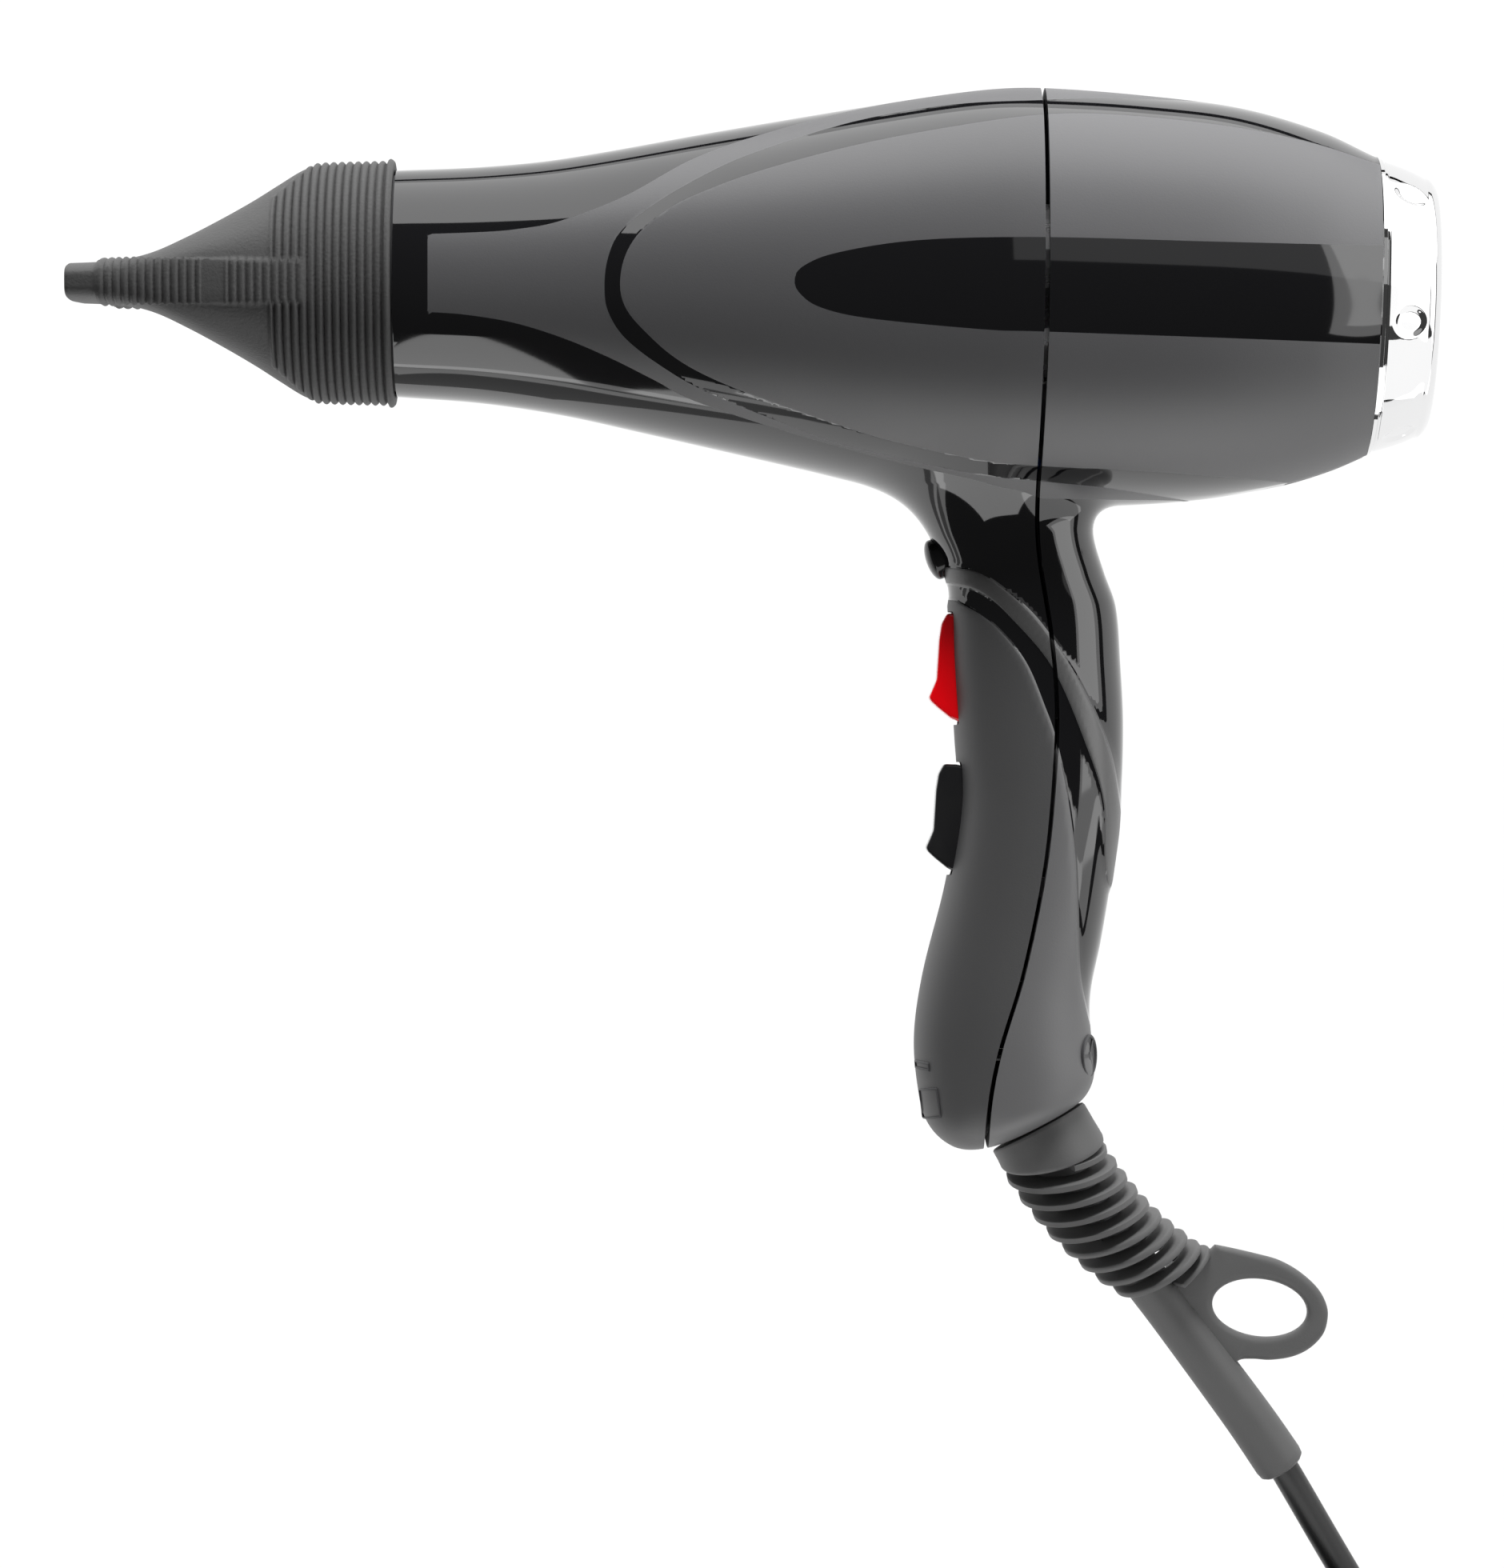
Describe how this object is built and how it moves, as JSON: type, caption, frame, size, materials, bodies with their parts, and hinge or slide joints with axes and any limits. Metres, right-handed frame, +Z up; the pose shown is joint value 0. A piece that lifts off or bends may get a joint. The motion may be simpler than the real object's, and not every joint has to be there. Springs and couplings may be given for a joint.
{
  "type": "hair dryer",
  "caption": "Salon hair dryer with a flared barrel, curved handle, slot nozzle, chrome inlet ring, ribbed bend guard with hanging loop, and coiled cord with plug.",
  "frame": {"origin": "on the table under the middle of the dryer without its cord, lying on its side", "axes": "+X from the nozzle towards the air inlet, +Y from the handle's foot towards the barrel, +Z up from the table"},
  "size_m": [0.281, 0.4075, 0.0774],
  "materials": {
    "shell": "high gloss black with satin textured side panels and a matte grip",
    "nozzle": "matte, lightly grained",
    "chrome": "mirror plated",
    "rubber": "matte moulded",
    "red": "gloss red",
    "black": "gloss black",
    "nylon": "matte black",
    "steel": "bright drawn steel",
    "mica": "silvery brown insulating sheet",
    "copper": "copper coloured winding and bearing metal",
    "film": "yellow moulded case",
    "board": "green lacquered board",
    "wire": "soft insulation"
  },
  "bodies": {
    "dryer_body": {"front_housing": "shell", "rear_housing": "shell", "bend_guard": "rubber", "cord_lead": "rubber", "cord_coil": "rubber", "cord_tail": "rubber", "supply_tail": "rubber", "plug_body": "rubber", "screw_cap": "nylon", "motor_end_cap": "nylon", "fan_housing": "nylon", "cool_shot_switch": "nylon", "speed_switch": "nylon", "heat_switch": "nylon", "terminal_block": "nylon", "cord_clamp": "nylon", "cord_tie": "nylon", "outlet_grille": "steel", "housing_screw": "steel", "thermostat": "steel", "thermal_fuse": "steel", "motor_can": "steel", "clamp_screw": "steel", "plug_pin_1": "steel", "plug_pin_2": "steel", "heater_sleeve": "mica", "heater_cross": "mica", "heater_coil": "copper", "front_bearing": "copper", "rear_bearing": "copper", "noise_capacitor": "film", "rectifier_board": "board", "live_wire": "wire", "neutral_wire": "wire", "heater_lead": "wire"},
    "nozzle": {"nozzle": "nozzle"},
    "rotor": {"motor_shaft": "steel", "motor_armature": "copper", "impeller": "black", "impeller_nut": "steel"},
    "inlet_cap": {"filter_ring": "chrome", "inlet_grille": "black", "filter_mesh": "steel"},
    "speed_rocker": {"speed_rocker": "red"},
    "heat_rocker": {"heat_rocker": "black"},
    "cool_shot_button": {"cool_shot_button": "black"}
  },
  "joints": [
    {"name": "nozzle_turn", "type": "hinge", "parent": "dryer_body", "child": "nozzle", "pos_m": [-0.0827, 0.1015, 0.0387], "axis": [1, 0, 0], "continuous": true},
    {"name": "rotor_spin", "type": "hinge", "parent": "dryer_body", "child": "rotor", "pos_m": [0.0973, 0.0994, 0.0387], "axis": [1, 0, 0], "continuous": true},
    {"name": "inlet_cap_pull", "type": "slide", "parent": "dryer_body", "child": "inlet_cap", "axis": [0.9994, -0.0358, 0], "range_m": [0, 0.03]},
    {"name": "speed_rocker_tilt", "type": "hinge", "parent": "dryer_body", "child": "speed_rocker", "pos_m": [0.0398, 0.0245, 0.0387], "axis": [0, 0, 1], "range_deg": [0, 14]},
    {"name": "heat_rocker_tilt", "type": "hinge", "parent": "dryer_body", "child": "heat_rocker", "pos_m": [0.0392, -0.0055, 0.0387], "axis": [0, 0, 1], "range_deg": [0, 14]},
    {"name": "cool_shot_press", "type": "slide", "parent": "dryer_body", "child": "cool_shot_button", "axis": [0.9438, 0.3305, 0], "range_m": [0, 0.0016], "stiffness_N_per_m": 300, "springref_m": -0.002}
  ]
}
